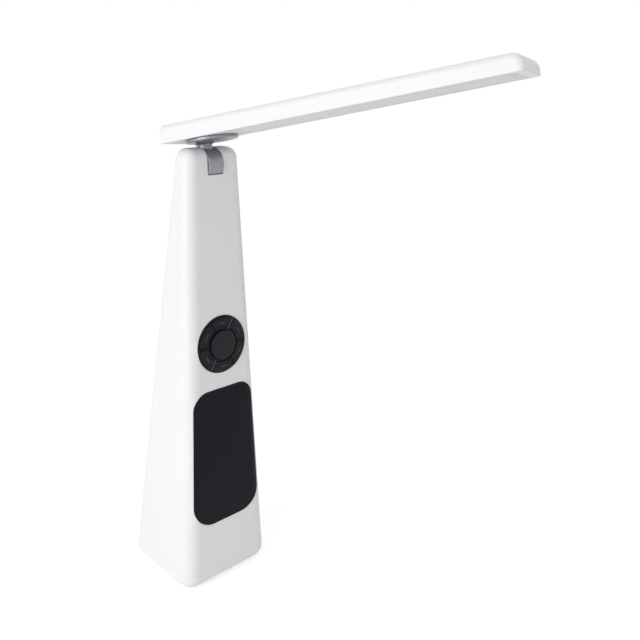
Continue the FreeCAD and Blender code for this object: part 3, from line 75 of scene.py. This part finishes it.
def seen_directly(nodes, links):
    """A value that is 1 for rays from the camera, mirrors and glass, and 0 for other light."""
    path = nodes.new("ShaderNodeLightPath")
    first = nodes.new("ShaderNodeMath")
    first.operation = "MAXIMUM"
    second = nodes.new("ShaderNodeMath")
    second.operation = "MAXIMUM"
    links.new(path.outputs["Is Camera Ray"], first.inputs[0])
    links.new(path.outputs["Is Glossy Ray"], first.inputs[1])
    links.new(first.outputs[0], second.inputs[0])
    links.new(path.outputs["Is Transmission Ray"], second.inputs[1])
    return second.outputs[0]


level = world_nodes.new("ShaderNodeMapRange")
level.inputs["To Min"].default_value = SURROUND_LEVEL
level.inputs["To Max"].default_value = SEEN_LEVEL
world_links.new(seen_directly(world_nodes, world_links), level.inputs["Value"])
world_links.new(level.outputs["Result"], world_nodes["Background"].inputs["Strength"])
world_nodes["Background"].inputs["Color"].default_value = WHITE
print("surround gives", SURROUND_LEVEL)

# %% [markdown]
# ## Soft lights
#
# A large soft light on the left makes the left faces the brightest and leaves the front a light
# grey. It could be a sun, but a wide square gives softer edges between light and shade. A faint
# small light near the floor lifts the foot, and the camera doesn't see it.

# %% Add the two soft lights
SIDE_PLACE, SIDE_AIM = (-1.1, -0.12, 0.38), (0.0, 0.0, 0.12)
SIDE_WIDTH, SIDE_WATTS = 0.9, 6.2
LOW_PLACE, LOW_AIM = (-0.22, -0.16, 0.04), (0.0, 0.0, 0.02)
LOW_WIDTH, LOW_WATTS = 0.12, 0.06


def soft_lamp(name, place, target, size, watts):
    """A square lamp that looks at a point."""
    data = bpy.data.lights.new(name, "AREA")
    data.shape = "SQUARE"
    data.size = size
    data.energy = watts
    lamp = bpy.data.objects.new(name, data)
    aim = Vector(target) - Vector(place)
    turn = aim.to_track_quat("-Z", "Y").to_matrix().to_4x4()
    lamp.matrix_world = Matrix.Translation(place) @ turn
    bpy.context.scene.collection.objects.link(lamp)
    return lamp


side_lamp = soft_lamp("side_lamp", SIDE_PLACE, SIDE_AIM, SIDE_WIDTH, SIDE_WATTS)
low_lamp = soft_lamp("low_lamp", LOW_PLACE, LOW_AIM, LOW_WIDTH, LOW_WATTS)
low_lamp.visible_camera = False
print("side lamp:", side_lamp.data.energy, "W, low lamp:", low_lamp.data.energy, "W")

# %% [markdown]
# ## Floor
#
# A pale floor carries the lamp's soft shadow. A plain matt floor would look grey where the
# light on it is weak, so for rays that see it directly it also glows a little. Where nothing
# shades it, floor and surround meet in the same white.

# %% Lay the floor
FLOOR_GLOW = 0.5
FLOOR_WIDTH = 6.0
FLOOR_TONE = (0.82, 0.82, 0.82, 1.0)
FLOOR_ROUGHNESS = 0.9

bpy.ops.mesh.primitive_plane_add(size=FLOOR_WIDTH, location=(0.0, 0.0, 0.0))
floor = bpy.context.object
floor.name = "studio_floor"
floor_finish = bpy.data.materials.new("studio_floor")
floor_finish.use_nodes = True
floor_nodes = floor_finish.node_tree.nodes
floor_links = floor_finish.node_tree.links
floor_shader = floor_nodes["Principled BSDF"]
floor_shader.inputs["Base Color"].default_value = FLOOR_TONE
floor_shader.inputs["Roughness"].default_value = FLOOR_ROUGHNESS
floor_shader.inputs["Specular IOR Level"].default_value = 0.0
floor_shader.inputs["Emission Color"].default_value = WHITE
glow = floor_nodes.new("ShaderNodeMath")
glow.operation = "MULTIPLY"
glow.inputs[1].default_value = FLOOR_GLOW
floor_links.new(seen_directly(floor_nodes, floor_links), glow.inputs[0])
floor_links.new(glow.outputs[0], floor_shader.inputs["Emission Strength"])
floor.data.materials.append(floor_finish)
print("floor laid")

# %% [markdown]
# ## Patterns
#
# A finish that is the same all over looks like a drawing, so each one below varies a little. The
# tone, the gloss and the height of the surface follow cloudy patterns in the piece's own
# coordinates, so they stay on the piece when it moves. Sizes are given in millimetres and turned
# into a noise scale, which counts waves in a metre.

# %% Patterns
MM = 0.001
EDGE_SAMPLES = 4


def mottle(finish, size_mm, detail):
    """A cloudy pattern whose clouds are about this wide; gives a value from 0 to 1."""
    nodes, links = finish.node_tree.nodes, finish.node_tree.links
    place = nodes.new("ShaderNodeTexCoord")
    cloud = nodes.new("ShaderNodeTexNoise")
    cloud.inputs["Scale"].default_value = 1.0 / (size_mm * MM)
    cloud.inputs["Detail"].default_value = detail
    links.new(place.outputs["Object"], cloud.inputs["Vector"])
    return cloud.outputs["Fac"]


def vary_colour(finish, shader, pattern, dark, light):
    """Let the colour wander between two tones with a pattern."""
    nodes, links = finish.node_tree.nodes, finish.node_tree.links
    blend = nodes.new("ShaderNodeMix")
    blend.data_type = "RGBA"
    blend.inputs["A"].default_value = (*dark, 1.0)
    blend.inputs["B"].default_value = (*light, 1.0)
    links.new(pattern, blend.inputs["Factor"])
    links.new(blend.outputs["Result"], shader.inputs["Base Color"])


def vary_roughness(finish, shader, pattern, low, high):
    """Let the roughness wander between two values with a pattern."""
    nodes, links = finish.node_tree.nodes, finish.node_tree.links
    spread = nodes.new("ShaderNodeMapRange")
    spread.inputs["To Min"].default_value = low
    spread.inputs["To Max"].default_value = high
    links.new(pattern, spread.inputs["Value"])
    links.new(spread.outputs["Result"], shader.inputs["Roughness"])


def texture_surface(finish, shader, pattern, height_mm, edge_mm, strength):
    """Raise a pattern by a height, and soften the piece's edges as a mould or a tumbler does."""
    nodes, links = finish.node_tree.nodes, finish.node_tree.links
    edge = nodes.new("ShaderNodeBevel")
    edge.samples = EDGE_SAMPLES
    edge.inputs["Radius"].default_value = edge_mm * MM
    bump = nodes.new("ShaderNodeBump")
    bump.inputs["Strength"].default_value = strength
    bump.inputs["Distance"].default_value = height_mm * MM
    links.new(pattern, bump.inputs["Height"])
    links.new(edge.outputs["Normal"], bump.inputs["Normal"])
    links.new(bump.outputs["Normal"], shader.inputs["Normal"])


# %% [markdown]
# ## A finish and its pieces
#
# Every finish takes the same steps: patches of two tones, an uneven gloss and a fine raised grain.
# One function takes them all, so that a finish is only a list of named measures. Settings that a
# few finishes need, such as how much a surface mirrors, are given by the shader's own names.

# %% A finish, and putting it on
def coat(name, dark, light, patch_mm, rough, gloss_mm, grain_mm, height_mm, edge_mm, strength=0.5,
         patch_detail=2.0, gloss_detail=3.0, grain_detail=3.0, settings=None):
    """A finish with patches of tone, uneven gloss, a raised grain and softened edges."""
    finish = bpy.data.materials.new(name)
    finish.use_nodes = True
    shader = finish.node_tree.nodes["Principled BSDF"]
    for setting, value in (settings or {}).items():
        shader.inputs[setting].default_value = value
    vary_colour(finish, shader, mottle(finish, patch_mm, patch_detail), dark, light)
    vary_roughness(finish, shader, mottle(finish, gloss_mm, gloss_detail), *rough)
    grain = mottle(finish, grain_mm, grain_detail)
    texture_surface(finish, shader, grain, height_mm, edge_mm, strength)
    return finish


def dress(finish, *names):
    """Put a finish on pieces by name."""
    for name in names:
        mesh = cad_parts[name].data
        mesh.materials.clear()
        mesh.materials.append(finish)
    print(finish.name, "on", ", ".join(names))


# %% [markdown]
# ## White shell
#
# The tower, its foot and the bar's cover are injection-moulded white plastic with a fine,
# almost smooth grain from the etched mould. A picture of real grain could be projected on, but
# noise at a third of a millimetre looks the same from every side and needs no unwrapping. A
# slow second noise makes the gloss uneven, as on any large moulding.

# %% White shell
white_shell = coat(
    "white_shell", dark=(0.845, 0.845, 0.855), light=(0.875, 0.875, 0.88), patch_mm=45.0,
    rough=(0.33, 0.43), gloss_mm=12.0, grain_mm=0.35, height_mm=0.004, edge_mm=0.35)
dress(white_shell, "tower_shell", "base_tray", "head_cover")

# %% [markdown]
# ## Pale underside of the bar
#
# The sheet under the bar comes from another mould with a deeper grain, so it is more matt.

# %% Pale base
pale_base = coat(
    "pale_base", dark=(0.77, 0.77, 0.78), light=(0.80, 0.80, 0.805), patch_mm=30.0,
    rough=(0.46, 0.56), gloss_mm=8.0, grain_mm=0.45, height_mm=0.01, edge_mm=0.2)
dress(pale_base, "head_base")

# %% [markdown]
# ## Dark window
#
# The display hides behind smoked plastic. It is almost black with a trace of blue, and polished,
# but real smoked windows are never mirror smooth: a faint ripple from moulding and a few hazy
# patches break the reflection.

# %% Dark window
dark_window = coat(
    "dark_window", dark=(0.0060, 0.0065, 0.0105), light=(0.0080, 0.0085, 0.0135), patch_mm=30.0,
    rough=(0.12, 0.22), gloss_mm=9.0, gloss_detail=4.0, grain_mm=14.0, grain_detail=1.0,
    height_mm=0.012, edge_mm=0.4, strength=0.4, settings={"Specular IOR Level": 0.1})
dress(dark_window, "display_window")

# %% [markdown]
# ## Prints and a painted highlight
#
# The keys carry faint grey prints, and two spokes of the ring carry a painted highlight: grey lines for
# the light that their edges catch. Both could be pictures, but here the finish measures where a point
# lies. The sums use a frame on the tower's front face, with one axis outward and one up the slope, and
# they become a mask that says where the colour goes.

# %% Frame on the front face
TOWER_HEIGHT = 0.262
FOOT_DEPTH, TOP_DEPTH = 0.0608, 0.0138
FRONT_LEAN = math.atan2(FOOT_DEPTH - TOP_DEPTH, 2 * TOWER_HEIGHT)
FRONT_FOOT = Vector((0.0, -FOOT_DEPTH / 2, 0.0))
OUTWARD = Vector((0.0, -math.cos(FRONT_LEAN), math.sin(FRONT_LEAN)))
UPWARD = Vector((0.0, math.sin(FRONT_LEAN), math.cos(FRONT_LEAN)))
DISC_HEIGHT = 0.153
DISC_MIDDLE = FRONT_FOOT + UPWARD * (DISC_HEIGHT / UPWARD.z)
print("middle of the disc:", tuple(round(v, 4) for v in DISC_MIDDLE))


def measure(finish, operation, vector):
    """Set each point of a piece against a vector, by a dot product or a distance."""
    nodes, links = finish.node_tree.nodes, finish.node_tree.links
    place = nodes.new("ShaderNodeTexCoord")
    sums = nodes.new("ShaderNodeVectorMath")
    sums.operation = operation
    sums.inputs[1].default_value = vector
    links.new(place.outputs["Object"], sums.inputs[0])
    return sums.outputs["Value"]


def arithmetic(finish, operation, first, second):
    """Join a value with a number or another value by one sum."""
    nodes, links = finish.node_tree.nodes, finish.node_tree.links
    sums = nodes.new("ShaderNodeMath")
    sums.operation = operation
    links.new(first, sums.inputs[0])
    if isinstance(second, float):
        sums.inputs[1].default_value = second
    else:
        links.new(second, sums.inputs[1])
    return sums.outputs[0]


def lay_print_and_highlight(finish, mask, overlay_tone):
    """Lay a colour over a finish's own colour where a mask is 1: a print on the keys, a painted highlight
    on the ring.
    """
    nodes, links = finish.node_tree.nodes, finish.node_tree.links
    colour = nodes["Principled BSDF"].inputs["Base Color"]
    tone = colour.links[0].from_socket
    layer = nodes.new("ShaderNodeMix")
    layer.data_type = "RGBA"
    layer.inputs["B"].default_value = (*overlay_tone, 1.0)
    links.new(mask, layer.inputs["Factor"])
    links.new(tone, layer.inputs["A"])
    links.new(layer.outputs["Result"], colour)


# %% [markdown]
# ## Ring
#
# The ring round the keys is matt black plastic. Two of its spokes get a painted highlight: grey lines for
# the light that their edges catch. A line is everything close to a straight line through the disc's
# middle, between two distances from it.

# %% Ring with a painted highlight on two spokes
HIGHLIGHT_SPOKE_ANGLE = math.radians(60.0)
HIGHLIGHT_HALF_WIDTH = 0.0006
HIGHLIGHT_START, HIGHLIGHT_END = 0.0098, 0.0162
# Painted highlight: this grey stands for the light caught by the edges of the spokes at 60 and 240
# degrees.
SPOKE_HIGHLIGHT_TONE = (0.11, 0.11, 0.13)

dark_ring = coat(
    "dark_ring", dark=(0.005, 0.005, 0.009), light=(0.008, 0.008, 0.012), patch_mm=4.0,
    rough=(0.36, 0.5), gloss_mm=2.0, grain_mm=0.25, height_mm=0.006, edge_mm=0.15, strength=0.6,
    settings={"Specular IOR Level": 0.16})
across = Vector((-math.sin(HIGHLIGHT_SPOKE_ANGLE), 0.0, 0.0)) + UPWARD * math.cos(HIGHLIGHT_SPOKE_ANGLE)
reach = measure(dark_ring, "DOT_PRODUCT", across)
beside = arithmetic(dark_ring, "SUBTRACT", reach, DISC_MIDDLE.dot(across))
on_highlight_line = arithmetic(dark_ring, "COMPARE", beside, 0.0)
tolerance = on_highlight_line.node.inputs[2]
tolerance.default_value = HIGHLIGHT_HALF_WIDTH
off_middle = measure(dark_ring, "DISTANCE", DISC_MIDDLE)
past_start = arithmetic(dark_ring, "GREATER_THAN", off_middle, HIGHLIGHT_START)
before_end = arithmetic(dark_ring, "LESS_THAN", off_middle, HIGHLIGHT_END)
spoke_highlight_mask = arithmetic(dark_ring, "MULTIPLY", on_highlight_line, past_start)
spoke_highlight_mask = arithmetic(dark_ring, "MULTIPLY", spoke_highlight_mask, before_end)
# Paint the highlight onto the two spokes.
lay_print_and_highlight(dark_ring, spoke_highlight_mask, SPOKE_HIGHLIGHT_TONE)
dress(dark_ring, "pad_frame")

# %% [markdown]
# ## Keys
#
# Each key carries a raised bar. Its top is printed, so the print is everything that lies more than
# a certain height in front of the tower's front face.

# %% Keys with printed bars
PRINT_HEIGHT = 0.0013
BAR_INK = (0.06, 0.058, 0.075)
KEYS = [f"key_{number}" for number in range(1, 7)]

dark_key = coat(
    "dark_key", dark=(0.007, 0.007, 0.011), light=(0.011, 0.011, 0.015), patch_mm=3.0,
    rough=(0.34, 0.48), gloss_mm=2.0, grain_mm=0.25, height_mm=0.005, edge_mm=0.15, strength=0.6,
    settings={"Specular IOR Level": 0.16})
in_front = measure(dark_key, "DOT_PRODUCT", OUTWARD)
bar_mask = arithmetic(dark_key, "GREATER_THAN", in_front, FRONT_FOOT.dot(OUTWARD) + PRINT_HEIGHT)
lay_print_and_highlight(dark_key, bar_mask, BAR_INK)
dress(dark_key, *KEYS)

# %% [markdown]
# ## Power button
#
# The button in the middle has no print, and its soft edge catches the light.

# %% Power button
soft_button = coat(
    "soft_button", dark=(0.008, 0.008, 0.012), light=(0.011, 0.011, 0.015), patch_mm=4.0,
    rough=(0.28, 0.4), gloss_mm=2.0, grain_mm=0.3, height_mm=0.005, edge_mm=0.2,
    settings={"Specular IOR Level": 0.2})
dress(soft_button, "power_button")

# %% [markdown]
# ## Grey hinge
#
# The drum, neck and round plate are one casting with a satin metal paint. Paint with metal
# flakes takes its tone from what it mirrors, so it looks darker face on and pale at a
# glancing angle. A plain grey plastic would miss that, so the shader is mostly metallic.

# %% Grey hinge
grey_hinge = coat(
    "grey_hinge", dark=(0.285, 0.292, 0.32), light=(0.315, 0.322, 0.35), patch_mm=6.0,
    rough=(0.28, 0.4), gloss_mm=3.0, grain_mm=0.3, height_mm=0.008, edge_mm=0.25,
    settings={"Metallic": 0.6})
dress(grey_hinge, "hinge_knuckle")

# %% [markdown]
# ## Diffuser
#
# The light leaves the bar through a milky sheet. Light enters such plastic and spreads inside
# it, which the shader's subsurface part does.

# %% Diffuser
SPREAD = {"Subsurface Weight": 0.6, "Subsurface Radius": (0.004, 0.004, 0.004), "Subsurface Scale": 0.3}

milky_diffuser = coat(
    "milky_diffuser", dark=(0.82, 0.82, 0.81), light=(0.84, 0.84, 0.835), patch_mm=20.0,
    rough=(0.4, 0.5), gloss_mm=6.0, grain_mm=0.5, grain_detail=2.0, height_mm=0.01, edge_mm=0.2,
    settings=SPREAD)
dress(milky_diffuser, "diffuser")

# %% [markdown]
# ## Rubber sole
#
# Dull dark rubber with a fine tooth keeps the foot from sliding.

# %% Rubber sole
sole_rubber = coat(
    "sole_rubber", dark=(0.016, 0.016, 0.018), light=(0.03, 0.03, 0.032), patch_mm=8.0, patch_detail=4.0,
    rough=(0.75, 0.95), gloss_mm=3.0, grain_mm=0.8, height_mm=0.05, edge_mm=0.3, strength=0.8)
dress(sole_rubber, "base_pad")

# %% [markdown]
# ## Metals
#
# Screws, pin and washers are bright steel with a drawn grain, the weight in the foot is a sawn
# steel plate, and the strip behind the LEDs is plain aluminium.

# %% Metals
def metal(name, dark, light, rough, grain_mm, *names):
    """A bare metal with patchy brightness and a fine grain."""
    finish = coat(
        name, dark, light, patch_mm=5.0, patch_detail=4.0, rough=rough, gloss_mm=1.5, gloss_detail=4.0,
        grain_mm=grain_mm, height_mm=0.01, edge_mm=0.12, settings={"Metallic": 1.0})
    dress(finish, *names)


metal("screw_steel", (0.50, 0.50, 0.51), (0.62, 0.62, 0.63), (0.25, 0.4), 0.4,
      "base_screws", "cradle_screws", "control_screws", "board_screws", "head_screws", "hinge_pin",
      "hinge_nut", "spring_washers", "swivel_post", "swivel_clip")
metal("inlet_steel", (0.58, 0.58, 0.58), (0.70, 0.70, 0.70), (0.18, 0.3), 0.3, "usb_socket")
metal("sawn_steel", (0.30, 0.30, 0.31), (0.42, 0.42, 0.43), (0.4, 0.6), 1.2, "ballast_plate")
metal("bare_aluminium", (0.78, 0.78, 0.79), (0.86, 0.86, 0.87), (0.3, 0.45), 0.6, "heat_spreader")

# %% [markdown]
# ## Inside pieces
#
# Boards, cell and switches show only where the lamp is opened, but each still gets its own
# finish: green lacquer over glass cloth, shrink film, black moulded bodies and white lacquer.

# %% Inside pieces
def lacquer(name, dark, light, rough, patch_mm, grain_mm, height_mm, *names):
    """A coated or moulded surface with patches of tone and a grain."""
    finish = coat(
        name, dark, light, patch_mm=patch_mm, patch_detail=3.0, rough=rough, gloss_mm=patch_mm / 2,
        grain_mm=grain_mm, grain_detail=2.0, height_mm=height_mm, edge_mm=0.12, strength=0.6)
    dress(finish, *names)


lacquer("green_board", (0.015, 0.11, 0.045), (0.03, 0.16, 0.07), (0.3, 0.45), 3.0, 0.5, 0.02,
        "display_board", "control_board", "main_board")
lacquer("white_board", (0.78, 0.78, 0.77), (0.84, 0.84, 0.83), (0.35, 0.5), 4.0, 0.5, 0.01, "led_strip")
lacquer("led_body", (0.80, 0.72, 0.36), (0.86, 0.80, 0.48), (0.35, 0.5), 1.0, 0.3, 0.01, "leds")
lacquer("cell_film", (0.03, 0.09, 0.28), (0.05, 0.13, 0.36), (0.2, 0.32), 10.0, 1.5, 0.03, "battery_cell")
lacquer("black_moulding", (0.02, 0.02, 0.021), (0.032, 0.032, 0.034), (0.4, 0.55), 3.0, 0.3, 0.01,
        "battery_cradle", "display_block", "tact_switches", "board_parts", "usb_tongue")
lacquer("washer_plastic", (0.62, 0.60, 0.55), (0.70, 0.68, 0.62), (0.4, 0.55), 2.0, 0.3, 0.01,
        "friction_washers", "swivel_washer")

# %% [markdown]
# ## Pieces without a finish
#
# Every piece should now carry a finish, so the pieces whose first material uses no nodes are printed.

# %% List pieces without a finish
undressed = [name for name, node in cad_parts.items() if not node.data.materials[0].use_nodes]
print("pieces without a finish:", undressed)
